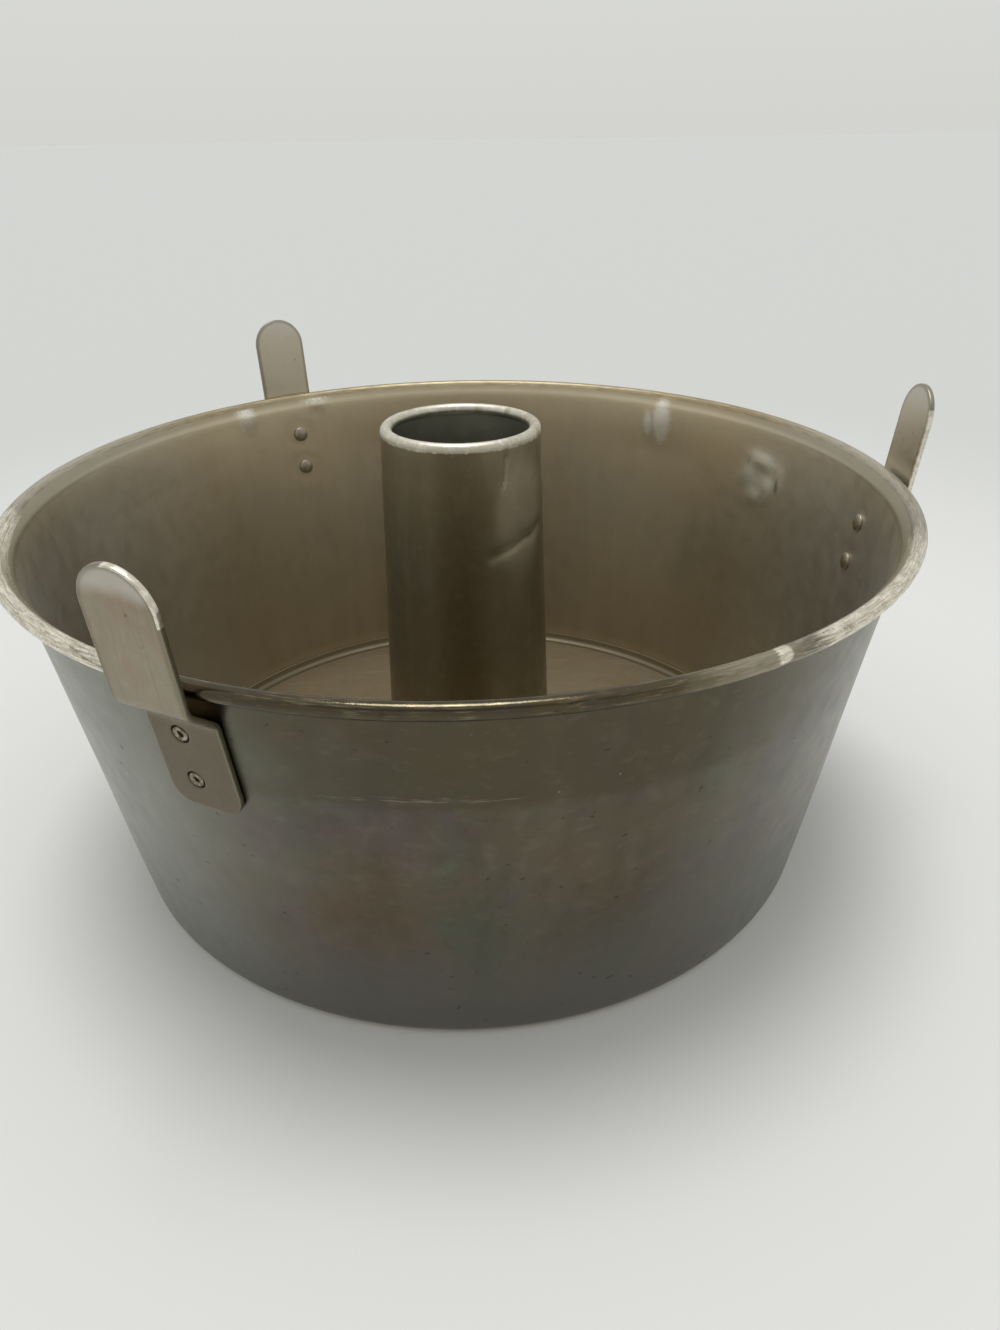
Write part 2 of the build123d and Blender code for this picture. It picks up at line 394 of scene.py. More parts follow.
def metal(name, patterns, marks, sums, coats, relief, metallic=1.0, extra=None):
    """A tarnished metal of coats. The first one lies everywhere, the others where they say."""
    material = bpy.data.materials.new(name)
    tree = emptied(material)
    place = add(tree, "ShaderNodeTexCoord").outputs["Object"]
    signals = dict(extra(tree, place)) if extra else {}
    for label, (size_mm, stretch, turn, detail, bend) in patterns.items():
        scale = [1 / (size_mm * MM * s) for s in stretch]
        inputs = {"Vector": place, "Rotation": turn, "Scale": scale}
        laid = add(tree, "ShaderNodeMapping", inputs).outputs[0]
        inputs = {"Vector": laid, "Scale": 1.0, "Detail": detail, "Distortion": bend}
        signals[label] = add(tree, "ShaderNodeTexNoise", inputs).outputs["Fac"]
    for label in marks:
        signals[label] = add(tree, "ShaderNodeAttribute", attribute_name=label).outputs["Fac"]
    for label, parts in (*sums.items(), ("height", relief)):
        total = 0.0
        for part, weight in parts:
            inputs = {0: signals[part], 1: weight, 2: total}
            total = add(tree, "ShaderNodeMath", inputs, operation="MULTIPLY_ADD").outputs[0]
        signals[label] = total
    for ground, tones, rough, where in coats:
        coat_color = linear(ground)
        for signal, low, high, amount, tint in tones:
            inputs = {"Value": signals[signal], "From Min": low, "From Max": high, "To Max": amount}
            share = add(tree, "ShaderNodeMapRange", inputs, interpolation_type="SMOOTHSTEP")
            inputs = {0: share.outputs["Result"], 6: coat_color, 7: linear(tint)}
            coat_color = add(tree, "ShaderNodeMix", inputs, data_type="RGBA").outputs[2]
        signal, first, last = rough
        inputs = {"Value": signals[signal], "From Min": noise_low, "From Max": noise_high}
        inputs |= {"To Min": first, "To Max": last}
        coat_roughness = add(tree, "ShaderNodeMapRange", inputs).outputs["Result"]
        if not where:
            color, roughness = coat_color, coat_roughness
            continue
        signal, low, high = where
        inputs = {"Value": signals[signal], "From Min": low, "From Max": high}
        share = add(tree, "ShaderNodeMapRange", inputs, interpolation_type="SMOOTHSTEP").outputs[0]
        inputs = {0: share, 6: color, 7: coat_color}
        color = add(tree, "ShaderNodeMix", inputs, data_type="RGBA").outputs[2]
        inputs = {0: share, 2: roughness, 3: coat_roughness}
        roughness = add(tree, "ShaderNodeMix", inputs).outputs[0]
    inputs = {"Strength": bump_strength, "Distance": bump_mm * MM, "Height": signals["height"]}
    bumped = add(tree, "ShaderNodeBump", inputs).outputs[0]
    inputs = {"Base Color": color, "Metallic": metallic, "Roughness": roughness, "Normal": bumped}
    surface = add(tree, "ShaderNodeBsdfPrincipled", inputs)
    add(tree, "ShaderNodeOutputMaterial", {"Surface": surface.outputs[0]})
    print(name, "has", len(tree.nodes), "nodes")
    return material


def axis_distance(tree, place):
    """The distance of a place from the pan's axis, in metres."""
    flat = add(tree, "ShaderNodeVectorMath", {0: place, 1: (1, 1, 0)}, operation="MULTIPLY")
    length = add(tree, "ShaderNodeVectorMath", {0: flat.outputs[0]}, operation="LENGTH")
    return length.outputs["Value"]


print("a pattern 8 mm across has a scale of", round(1 / (8 * MM)), "in metres")

# %% [markdown]
# ## The outer wall
#
# The wall is spun aluminium, so the sheet rises from a narrow ledge at the bottom in one sweep
# and is rolled over at the rim into a bead. Its outside is mottled brown and olive where oven
# heat has coloured it. Its inside is a warmer brown, with upright streaks from washing. Both
# belong to one sheet, so one mesh carries both finishes, and an attribute made from the
# section tells the material which side it is on.

# %% Sizes of the wall
mouth_radius = 127.0
foot_radius = 110.0
rim_height = 112.0
wall_thickness = 0.8
ledge_bore_radius = 98.0
bead_radius = 2.0
lip_flare, lip_lean = 1.6, 35.0
bead_center = Vector((mouth_radius + bead_radius, rim_height - bead_radius))
wall_top_radius = mouth_radius - lip_flare
wall_slope = (wall_top_radius - foot_radius) / (bead_center.y - wall_thickness)
wall_lean = math.degrees(math.atan(wall_slope))


def wall_radius(height):
    """Radius of the wall's inner face at a height above the table."""
    return foot_radius + (height - wall_thickness) * wall_slope


curl_start = 180.0 - lip_lean
lip_end = bead_center + turned(Vector((bead_radius, 0)), math.radians(curl_start))
lip_foot_height = lip_end.y - (lip_end.x - wall_radius(lip_end.y)) / (
    math.tan(math.radians(lip_lean)) - wall_slope
)
print("the wall leans out by", round(wall_lean, 2), "degrees and is", wall_thickness, "mm thick")

# %% Finish of the wall
wall_patterns = {
    "clouds": (60.0, (1, 1, 1), (0, 0, 0), 3, 0.3),
    "tints": (40.0, (1, 1, 1), (0.4, 1.1, 0.3), 3, 0.5),
    "patches": (30.0, (1, 1, 1), (1.3, 0.1, 2.0), 3, 0.4),
    "bands": (16.0, (1, 1, 8), (0, 0, 0), 2, 0.2),
    "mottle": (6.0, (1, 1, 1), (0.9, 0.2, 0.5), 5, 0.0),
    "smudges": (2.0, (2, 2, 1), (0.2, 0.3, 0), 4, 0.3),
    "washing": (8.0, (1, 1, 9), (0, 0, 0), 3, 0.0),
    "chips": (2.2, (1.5, 1.5, 1), (1.0, 0.3, 0.2), 2, 0.0),
    "grain": (0.9, (1, 1, 1), (0, 0, 0), 2, 0.0),
    "knocks": (0.55, (1.5, 1.5, 1), (0.2, 0.7, 0.4), 3, 0.3),
}
# The dark tone from a ragged line at 82 to 86 mm up to the bead is a painted shade under the bead.
outside_coat = coat("645d4e", ("mottle", 0.36, 0.28), None, """
clouds 0.42 0.6 0.5 5a5547
tints 0.5 0.66 0.65 6b5a46
tints 0.48 0.34 0.6 586151
patches 0.52 0.66 0.5 5f5659
bands 0.52 0.66 0.3 70685a
bands 0.46 0.34 0.3 524c3d
mottle 0.54 0.7 0.2 767062
mottle 0.46 0.3 0.25 4f493c
above_line 82 86 0.6 4f4836
rise 52 0 0.7 888780
hazed 0.5 1.5 0.85 8b8d84
scuffed 1.15 1.4 0.45 989282
smudges 0.56 0.72 0.12 827c6b
chips 0.77 0.8 0.45 c4beae
chips 0.29 0.25 0.6 363229
sheltered 0.3 0.8 0.8 b5ab93
""")
# The pale tone from 9 down to 6 mm is painted light over the dark gap at the bottom's rim, and the
# pale tone from 94 to 107.5 mm is painted light on the wall under the lip.
inside_coat = coat("b6ab93", ("mottle", 0.44, 0.38), ("inside", 0.2, 0.8), """
clouds 0.42 0.62 0.4 b1a58c
tints 0.52 0.66 0.35 bfab8e
tints 0.46 0.34 0.3 afaa9a
rise 60 108 0.45 c8b592
rise 9 6 0.5 cfc4ab
rise 45 5 0.4 a99c82
washing 0.52 0.66 0.1 cfc5b0
washing 0.46 0.34 0.12 9c907a
haze 0.1 0.9 0.95 cdccc4
rise 94 107.5 0.45 d9ceb2
lip_shade 107.2 110.2 0.7 857b65
pale 0.5 1.05 0.95 d8d8cb
creased 0.55 0.95 0.6 66645a
white 0.5 1.05 0.9 ece8dc
""")
bead_coat = coat("514b3d", ("mottle", 0.2, 0.13), ("bead", 0.2, 0.8), """
mottle 0.5 0.68 0.35 665e4d
patches 0.52 0.64 0.4 62563f
strokes 0.54 0.68 0.5 8b7c60
chips 0.3 0.25 0.6 403a2e
""")
# The bead's paler bluish tone on the sides is a painted reflection of the pale tent.
dull_coat = coat("988c70", ("mottle", 0.5, 0.4), ("dulled", 0.15, 1.0), """
tints 0.5 0.64 0.5 9c8562
mottle 0.46 0.3 0.4 7c725b
haze 0.1 0.9 0.85 b3ae9f
strokes 0.54 0.68 0.4 c1b79f
strokes 0.46 0.34 0.4 7a705a
""")
bare_coat = coat("d4cdbb", ("strokes", 0.36, 0.26), ("ragged_wear", 0.65, 1.05), """
strokes 0.5 0.62 0.85 f6efdc
strokes 0.46 0.34 0.6 948b76
mottle 0.46 0.3 0.5 a59d88
knocks 0.55 0.66 0.7 fffaeb
""")


# In millimetres, the length at the rim
stroke_length, stroke_width = 5.0, 0.45


def round_strokes(tree, place):
    """Strokes that run round the axis, from a noise on the angle, the radius and the height."""
    x, y, z = add(tree, "ShaderNodeSeparateXYZ", {"Vector": place}).outputs
    turn = add(tree, "ShaderNodeMath", {0: y, 1: x}, operation="ARCTAN2").outputs[0]
    inputs = {"X": turn, "Y": axis_distance(tree, place), "Z": z}
    spot = add(tree, "ShaderNodeCombineXYZ", inputs).outputs[0]
    scale = (mouth_radius / stroke_length, 1 / (stroke_width * MM), 1 / (stroke_width * MM))
    laid = add(tree, "ShaderNodeVectorMath", {0: spot, 1: scale}, operation="MULTIPLY").outputs[0]
    inputs = {"Vector": laid, "Scale": 1.0, "Detail": 3.0}
    return {"strokes": add(tree, "ShaderNodeTexNoise", inputs).outputs["Fac"]}


wall_mark_names = tuple(
    "inside bead dull worn rise haze scuff sheltered pale_mark crease_mark white_mark".split()
)
wall_finish = metal(
    "spun_aluminium_oven_tarnish",
    wall_patterns,
    marks=wall_mark_names,
    sums={
        "ragged_wear": (("worn", 1.0), ("strokes", 0.5), ("mottle", 0.25)),
        "above_line": (("rise", 1.0), ("smudges", 5.0)),
        "hazed": (("haze", 1.0), ("clouds", 0.8)),
        "lip_shade": (("rise", 1.0), ("haze", 1.5)),
        "dulled": (("dull", 1.0), ("mottle", 0.3)),
        "scuffed": (("scuff", 1.0), ("strokes", 1.0)),
        "pale": (("pale_mark", 1.0), ("mottle", 0.5)),
        "creased": (("crease_mark", 1.0), ("mottle", 0.4)),
        "white": (("white_mark", 1.0), ("knocks", 0.6)),
    },
    coats=[outside_coat, inside_coat, bead_coat, dull_coat, bare_coat],
    relief=(("mottle", 0.5), ("grain", 0.3), ("chips", 0.3), ("smudges", 0.2)),
    extra=round_strokes,
)

# %% Turn the wall
# Radii of the bends, the turn of the curl, the longest run between points, and the steps
foot_curve, lip_curve, curl_size = 3.2, 3.0, -280.0
wall_run, wall_steps = 1.7, 480
wall_line = bent(
    [
        (ledge_bore_radius, wall_thickness),
        (foot_radius, wall_thickness),
        (wall_radius(lip_foot_height), lip_foot_height),
        lip_end,
    ],
    [foot_curve, lip_curve],
) + arc(bead_center, bead_radius, curl_start, curl_size, step=14.0)
wall_section = sheet(finer(wall_line, wall_run), -wall_thickness)
wall = turn_section("outer_wall", wall_section, wall_steps, wall_finish)

# %% [markdown]
# ### Dents, and marks that go with them
#
# The pan has been dropped and knocked against taps. A dent is a smooth push on both faces of
# the sheet together, so it is made by moving vertices along the radius, with a smooth hill
# that fades out over its size. Where a knock has also rubbed the tarnish off, the same hill is
# written as an attribute; the white and pale marks add a painted highlight of the dent, and the
# crease marks painted shade along its folds. The low waves of hand-worked sheet are a slow
# noise.


# %% Helpers for dents
def arc_distance(azimuth, other, radius):
    """Millimetres along a circle between two azimuths in degrees."""
    return math.radians((azimuth - other + 180) % 360 - 180) * radius


def hill(place, azimuth, height, half_width, half_height, tilt=0.0):
    """How high a smooth hill of height 1 is at a place, given as (azimuth, height, radius)."""
    turn = math.radians(tilt)
    u, v = arc_distance(place[0], azimuth, place[2]), place[1] - height
    a = (u * math.cos(turn) + v * math.sin(turn)) / half_width
    b = (v * math.cos(turn) - u * math.sin(turn)) / half_height
    return math.exp(-(a * a + b * b) * 1.5)


def ridge(distance, width):
    """How high a smooth ridge of height 1 is at a distance from its line."""
    return math.exp(-((distance / width) ** 2))


def fade(value, start, stop):
    """A straight rise from 0 at a start to 1 at a stop, which may be below the start."""
    return min(1.0, max(0.0, (value - start) / (stop - start)))


def swell(azimuth, stretches):
    """The strongest of some stretches round the axis, each of which fades towards its ends."""
    strongest = 0.0
    for middle, reach, strength in stretches:
        off = abs((azimuth - middle + 180) % 360 - 180) / reach
        strongest = max(strongest, strength * max(0.0, 1.0 - off * off))
    return strongest


def places_on(mesh):
    """Each vertex of a round piece, its x and y, and its azimuth, height and radius, in mm."""
    for vertex in mesh.vertices:
        x, y, z = (c / MM for c in vertex.co)
        yield vertex, x, y, (math.degrees(math.atan2(y, x)), z, math.hypot(x, y))


def write_marks(mesh, marks):
    """Writes the marks of all vertices, a dictionary for each, as float attributes."""
    for name in marks[0]:
        attribute = mesh.attributes.new(name, "FLOAT", "POINT")
        attribute.data.foreach_set("value", [mark[name] for mark in marks])


# Azimuth in degrees, height, half width and half height in mm, tilt in degrees, depth in mm
wall_dents = [
    (51.4, 102.5, 4.4, 8.5, -4.0, 0.6),
    (53.9, 100.5, 2.0, 5.0, -8.0, 0.3),
    (132.4, 107.5, 4.0, 5.0, 0.0, 0.5),
    (118.6, 109.0, 3.5, 2.8, 0.0, 0.4),
    (28.5, 96.5, 8.0, 2.6, 8.0, 0.5),
    (31.0, 91.0, 3.0, 6.0, 20.0, 0.45),
    (26.0, 88.0, 4.5, 4.0, -10.0, 0.55),
    (24.0, 93.0, 1.8, 5.0, -8.0, 0.35),
    (28.0, 83.5, 6.0, 2.6, -10.0, 0.35),
    (-94.0, 84.2, 30.0, 2.0, 1.0, 0.2),
    (-59.0, 109.5, 2.4, 2.6, 0.0, 0.35),
    (-62.5, 110.0, 1.6, 2.0, 0.0, 0.25),
]
# Marks on the inner face: kind, azimuth, height, half width, half height, tilt and strength.
# The white and pale marks are rubbed patina with a painted highlight of the dent, and the
# crease marks are painted shade along its folds.
wall_marks = [
    ("white_mark", 51.3, 102.0, 4.8, 10.5, -4.0, 1.05),
    ("pale_mark", 54.0, 100.5, 2.4, 6.0, -8.0, 1.2),
    ("white_mark", 132.6, 107.5, 6.5, 8.0, 4.0, 0.62),
    ("white_mark", 118.6, 109.5, 11.0, 3.4, 0.0, 0.5),
    ("pale_mark", 28.0, 91.5, 17.0, 15.0, 0.0, 0.85),
    ("pale_mark", 27.5, 90.5, 10.0, 11.5, 0.0, 1.2),
    ("crease_mark", 31.2, 96.5, 1.6, 4.5, 10.0, 0.75),
    ("crease_mark", 28.3, 99.5, 4.5, 1.2, 5.0, 0.65),
    ("crease_mark", 23.8, 90.0, 1.5, 6.5, -8.0, 0.85),
    ("crease_mark", 27.0, 81.5, 3.5, 1.2, -5.0, 0.5),
]
# The broken line round the outside, and a chip on the bead, laid out like the dents
scuff_line, scuff_strength = (-94.0, 84.2, 62.0, 2.2), 0.85
bead_chip = (-59.5, 111.0, 2.6, 3.0)
# Where a face has a paler, bluish tone, a painted reflection of the pale tent, mostly on the
# pan's sides: azimuth and reach in degrees, and strength
outer_sheen_spots = [(203.0, 62.0, 1.0), (322.0, 34.0, 0.6), (80.0, 60.0, 0.6), (140.0, 30.0, 0.4)]
inner_sheen_spots = [(-20.0, 62.0, 1.0), (200.0, 66.0, 1.0)]
# Where the bead is dull, as it isn't at the front, and where it is rubbed bare, given alike
bead_dulls = [(90.0, 160.0, 1.2), (-62.0, 10.0, 0.55)]
bead_rubs = [(-146.0, 33.0, 1.0), (-44.0, 17.0, 0.8), (-37.0, 24.0, 0.65)]
# The feet and their rivets: azimuths in degrees, and how far the rear one was set higher
foot_azimuths = {"right": 0.0, "rear_left": 122.7, "front_left": 243.2}
foot_raises = {"right": 0.0, "rear_left": 2.3, "front_left": 0.0}
rivet_azimuths = dict(foot_azimuths, front_left=foot_azimuths["front_left"] - 0.7)
rivet_drops = (15.0, 28.0)
rivet_spots = [
    (azimuth, bead_center.y - (drop - foot_raises[side]) * math.cos(math.radians(wall_lean)))
    for side, azimuth in rivet_azimuths.items()
    for drop in rivet_drops
]
# Where the wall behind each foot is painted lighter, painted light over the shadow in the gap
# under the foot: height, half width and half height
foot_gap_light = (104.0, 13.0, 9.0)
# The ring that a rivet pulls up in the sheet round itself
pull_height, pull_radius, pull_width = 0.11, 4.2, 1.5
# The slow waves of the sheet, and the heights over which they begin and end
wave_size, wave_height, wave_squash = 38.0, 0.5, 0.6
waves_begin, waves_end = (8.0, 20.0), (104.0, 90.0)
print("dents on the wall:", len(wall_dents), "marks:", len(wall_marks))

# %% Shape and mark the wall
marks = []
lip_width = 1.6
for vertex, x, y, place in places_on(wall.data):
    azimuth, z, radius = place
    depth = sum(deep * hill(place, *dent) for *dent, deep in wall_dents)
    for az, height in rivet_spots:
        away = math.hypot(arc_distance(azimuth, az, radius), z - height)
        depth -= pull_height * ridge(away - pull_radius, pull_width)
    wave = noise.noise(Vector((x, y, z * wave_squash)) / wave_size) * wave_height
    free = fade(z, *waves_begin) * fade(z, *waves_end)
    vertex.co -= Vector((x, y, 0)) / radius * (depth + wave * free) * MM

    on_bead = math.hypot(radius - bead_center.x, z - bead_center.y) < bead_radius + 0.05
    middle = wall_radius(z) + wall_thickness / 2 + max(0.0, z - lip_foot_height)
    inner_face = not on_bead and radius < middle
    inside = inner_face or on_bead
    values = dict.fromkeys(wall_mark_names, 0.0)
    values |= {"rise": z, "inside": float(inside), "bead": float(on_bead)}
    # A paler bluish tone, mostly on the sides: a painted reflection of the pale tent
    values["haze"] = swell(azimuth, inner_sheen_spots if inside else outer_sheen_spots)
    values["dull"] = swell(azimuth, bead_dulls) * on_bead
    if on_bead or (inner_face and z > lip_foot_height + lip_width):
        values["worn"] = max(swell(azimuth, bead_rubs), hill(place, *bead_chip))
    if inside:
        for kind, *spot, strength in wall_marks:
            values[kind] = max(values[kind], strength * hill(place, *spot))
    else:
        # The wall behind each foot is painted lighter: painted light over the shadow in the gap.
        gap_lights = [hill(place, az, *foot_gap_light) for az in foot_azimuths.values()]
        values["sheltered"] = max(gap_lights)
        values["scuff"] = hill(place, *scuff_line) * scuff_strength
    marks.append(values)
write_marks(wall.data, marks)
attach(wall, "pan")
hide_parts("pan_wall")
print("worn vertices on the wall:", sum(mark["worn"] > 0.3 for mark in marks))

# %% [markdown]
# ## The lift-out bottom
#
# The bottom is a shallow dish of slightly thicker sheet. It lies on the wall's ledge, turns up
# inside the wall, and has a short collar that grips the tube. Batter has kept its floor a
# little paler than the walls, with the fine rings of the lathe still in it. Rings follow the
# radius, so they are drawn by a wave on the distance from the axis.

# %% Sizes and finish of the bottom
plate_thickness = 1.0
plate_gap = 0.3
plate_rim_height = 4.0
collar_height, collar_bend, rim_bend = 2.6, 1.6, 3.5
tube_height = 129.0
tube_mouth_radius, tube_foot_radius = 23.6, 27.7
tube_slope = (tube_foot_radius - tube_mouth_radius) / tube_height


def tube_radius(height):
    """Radius of the tube's outer face at a height above the table."""
    return tube_foot_radius - height * tube_slope


plate_patterns = {
    "clouds": (42.0, (1, 1, 1), (0, 0, 0), 3, 0.4),
    "tints": (28.0, (1, 1, 1), (0.4, 1.1, 0.3), 3, 0.5),
    "mottle": (9.0, (1, 1, 1), (0.9, 0.2, 0.5), 5, 0.0),
    "hairs": (1.1, (14, 1, 1), (0, 0, 0.7), 0, 0.0),
    "grain": (0.9, (1, 1, 1), (0, 0, 0), 2, 0.0),
}
# The last three tones darken the bend of the bottom's rim, a painted shade over its bright line,
# and lighten the rim's top edge, painted light over the dark gap at the wall.
plate_coat = coat("857962", ("mottle", 0.48, 0.4), None, """
clouds 0.42 0.62 0.5 7c6f56
tints 0.52 0.66 0.4 8b7559
tints 0.46 0.34 0.4 807b69
mottle 0.5 0.7 0.3 978c77
mottle 0.46 0.3 0.3 706551
hairs 0.68 0.76 0.2 ada38f
out_to_rim 105.6 106.8 0.9 554d3b
out_to_rim 107.6 108.6 0.9 7d735a
out_to_rim 108.9 109.3 0.9 9a8e72
""")


ring_pitch = 1.1


def lathe_rings(tree, place):
    """Distance from the axis in mm, and rings a pitch apart, wide enough to show."""
    inputs = {0: axis_distance(tree, place), 1: 1 / MM}
    out = add(tree, "ShaderNodeMath", inputs, operation="MULTIPLY").outputs[0]
    inputs = {0: out, 1: 2 * math.pi / ring_pitch}
    turns = add(tree, "ShaderNodeMath", inputs, operation="MULTIPLY").outputs[0]
    rings = add(tree, "ShaderNodeMath", {0: turns}, operation="SINE").outputs[0]
    return {"out_to_rim": out, "rings": rings}


plate_finish = metal(
    "turned_aluminium_baked_bottom",
    plate_patterns,
    marks=(),
    sums={},
    coats=[plate_coat],
    relief=(("mottle", 0.5), ("grain", 0.3), ("rings", 0.12)),
    metallic=0.7,
    extra=lathe_rings,
)
plate_underside = wall_thickness
rim_top = plate_underside + plate_rim_height
collar_top = plate_underside + plate_thickness + collar_height
print("the bottom's rim is", plate_rim_height, "mm high and its collar", collar_height, "mm")

# %% Turn the bottom
plate_line = bent(
    [
        (tube_radius(collar_top), collar_top),
        (tube_radius(plate_underside), plate_underside),
        (wall_radius(plate_underside) - plate_gap, plate_underside),
        (wall_radius(rim_top) - plate_gap, rim_top),
    ],
    [collar_bend, rim_bend],
)
plate_run, plate_steps = 2.5, 360
plate_section = sheet(finer(plate_line, plate_run), plate_thickness)
plate = turn_section("lift_out_bottom", plate_section, plate_steps, plate_finish)
# Its waves, the slice of the noise that they are read from, and the radii where they end
plate_wave_size, plate_wave_height, plate_wave_lift, noise_slice = 30.0, 0.35, 0.35, 9.0
inner_end, outer_end = (34.0, 54.0), (100.0, 80.0)
for vertex, x, y, (_, _, radius) in places_on(plate.data):
    free = fade(radius, *inner_end) * fade(radius, *outer_end)
    wave = noise.noise(Vector((x, y, noise_slice)) / plate_wave_size)
    wave = max(0.0, wave + plate_wave_lift)
    vertex.co.z += wave * plate_wave_height * free * MM
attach(plate, "insert")
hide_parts("base_plate")

# %% [markdown]
# ## The tube
#
# The tube is drawn from sheet with a slight taper. Its mouth is rolled inwards, so that the
# hot edge is blunt, and its foot turns out under the bottom. Years of knives run round it have
# rubbed its upper part to a paler grey and left upright creases and one curved dent. The
# dents are vertex moves again, and the rubbed part is an attribute.

# %% Finish of the tube
tube_patterns = {
    "clouds": (24.0, (1, 1, 2), (0, 0, 0), 3, 0.4),
    "tints": (17.0, (1, 1, 1), (0.4, 1.1, 0.3), 3, 0.5),
    "mottle": (6.0, (1, 1, 1), (0.9, 0.2, 0.5), 5, 0.0),
    "strokes": (5.0, (1, 1, 16), (0, 0, 0), 2, 0.0),
    "grain": (0.8, (1, 1, 1), (0, 0, 0), 2, 0.0),
    "knocks": (1.6, (1, 1, 1), (0.2, 0.7, 0.4), 4, 0.5),
}
# The darker front is a painted reflection of the dim open side of the tent.
brown_coat = coat("918770", ("mottle", 0.42, 0.34), None, """
clouds 0.42 0.62 0.5 928a72
tints 0.52 0.66 0.3 a2917a
tints 0.46 0.34 0.3 979585
strokes 0.5 0.7 0.2 aca48f
strokes 0.48 0.3 0.2 857c68
front 0 1 0.6 766c56
mottle 0.5 0.7 0.2 aea58f
bore 0.3 0.7 0.95 cbcbbe
""")
# Its dark tone is painted shade along the tube's dent.
rubbed_coat = coat("b6ad99", ("mottle", 0.44, 0.34), ("ragged_rub", 0.7, 1.35), """
mottle 0.5 0.7 0.3 b9b19e
mottle 0.46 0.3 0.3 9b927c
creased 0.5 0.9 0.7 5f584a
""")
mouth_coat = coat("cbc6b6", ("mottle", 0.52, 0.42), ("ragged_mouth", 0.8, 1.05), """
clouds 0.5 0.62 0.5 ada48e
knocks 0.5 0.66 0.7 e2dccd
mottle 0.44 0.32 0.5 8d846f
""")
crease_coat = coat("bdb6a5", ("knocks", 0.3, 0.4), ("ragged_wear", 0.75, 1.05), """
knocks 0.45 0.6 0.8 e2dccd
""")
tube_finish = metal(
    "drawn_aluminium_rubbed_tube",
    tube_patterns,
    marks=("rubbed", "mouth", "worn", "bore", "front", "crease_mark"),
    sums={
        "ragged_rub": (("rubbed", 1.0), ("clouds", 1.0)),
        "creased": (("crease_mark", 1.0), ("mottle", 0.4)),
        "ragged_mouth": (("mouth", 1.0), ("knocks", 0.5)),
        "ragged_wear": (("worn", 1.0), ("knocks", 0.6)),
    },
    coats=[brown_coat, rubbed_coat, mouth_coat, crease_coat],
    relief=(("mottle", 0.5), ("grain", 0.3), ("strokes", 0.1)),
)
tube_thickness = 0.8
flange_width, flange_bend = 5.0, 1.2
tube_curl_radius = 1.7
tube_taper = math.degrees(math.atan(tube_slope))
tube_curl_height = tube_height - tube_curl_radius
curl_reach = tube_curl_radius / math.cos(math.radians(tube_taper))
tube_curl = Vector((tube_radius(tube_curl_height) - curl_reach, tube_curl_height))
print("the tube tapers by", round(tube_taper, 2), "degrees")

# %% Turn the tube
tube_curl_size, tube_run, tube_steps = 250.0, 1.0, 270
tube_line = bent(
    [
        (tube_radius(plate_underside) + flange_width, plate_underside),
        (tube_radius(plate_underside), plate_underside),
        tube_curl + turned(Vector((tube_curl_radius, 0)), math.radians(tube_taper)),
    ],
    [flange_bend],
) + arc(tube_curl, tube_curl_radius, tube_taper, tube_curl_size, step=14.0)
tube_section = sheet(finer(tube_line, tube_run), tube_thickness)
tube = turn_section("middle_tube", tube_section, tube_steps, tube_finish)

# %% Dent and mark the tube
tube_crease = [(-57.0, 124.6), (-58.5, 119.5), (-60.0, 116.0)]
crease_depth, crease_width, crease_wear = 0.2, 0.6, 0.6
tube_dent = [(-24.0, 101.0), (-36.0, 99.0), (-44.0, 99.0), (-55.0, 97.2), (-68.5, 95.7)]
# The dent is painted darker along its line as well: a painted shade of its crease.
dent_depth, dent_width, dent_line, dent_shade = 0.35, 1.8, 1.0, 0.6
# Where knives rub the tube, given as a dent is, and how its hill is broadened and cut off
tube_rub, rub_gain, rub_range = (-44.0, 106.0, 13.0, 24.0), 1.3, (0.1, 1.1)
# The azimuth and half width of its darker front, a painted reflection of the dim open side of
# the tent, and the heights where the mouth is worn
dark_reflection_azimuth, dark_reflection_width, mouth_wear = -91.0, 9.0, (125.5, 127.0)
tube_wave_size, tube_wave_height, tube_wave_lift, tube_squash = 16.0, 0.16, 0.08, 0.5
tube_waves_begin, tube_waves_end = (8.0, 18.0), (125.0, 119.0)


def distance_to_path(place, path):
    """Distance in millimetres from a place on a round surface to a path drawn on it."""
    azimuth, height, radius = place
    start = path[0][0]
    spot = Vector((arc_distance(azimuth, start, radius), height))
    points = [Vector((arc_distance(az, start, radius), h)) for az, h in path]
    nearest = math.inf
    for a, b in zip(points, points[1:]):
        along = fade((spot - a).dot(b - a) / (b - a).length_squared, 0.0, 1.0)
        nearest = min(nearest, (spot - a.lerp(b, along)).length)
    return nearest


marks = []
for vertex, x, y, place in places_on(tube.data):
    azimuth, z, radius = place
    crease = ridge(distance_to_path(place, tube_crease), crease_width)
    from_dent = distance_to_path(place, tube_dent)
    dent = ridge(from_dent, dent_width)
    from_curl = (Vector((radius, z)) - tube_curl).length
    if from_curl >= tube_curl_radius + 0.1 or z <= tube_curl.y - 0.3:
        wave = noise.noise(Vector((x, y, z * tube_squash)) / tube_wave_size) * tube_wave_height
        free = fade(z, *tube_waves_begin) * fade(z, *tube_waves_end)
        depth = crease * crease_depth + dent * dent_depth + (wave + tube_wave_lift) * free
        vertex.co -= Vector((x, y, 0)) / radius * depth * MM
    values = {"rubbed": fade(hill(place, *tube_rub) * rub_gain, *rub_range)}
    values["mouth"] = fade(z, *mouth_wear)
    values["worn"] = crease * crease_wear
    values["bore"] = float(radius < tube_radius(z) - tube_thickness / 2)
    # The darker front: a painted reflection
    values["front"] = hill(place, dark_reflection_azimuth, z, dark_reflection_width, 1.0)
    values["crease_mark"] = ridge(from_dent, dent_line) * dent_shade
    marks.append(values)
write_marks(tube.data, marks)
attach(tube, "insert")
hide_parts("center_tube")
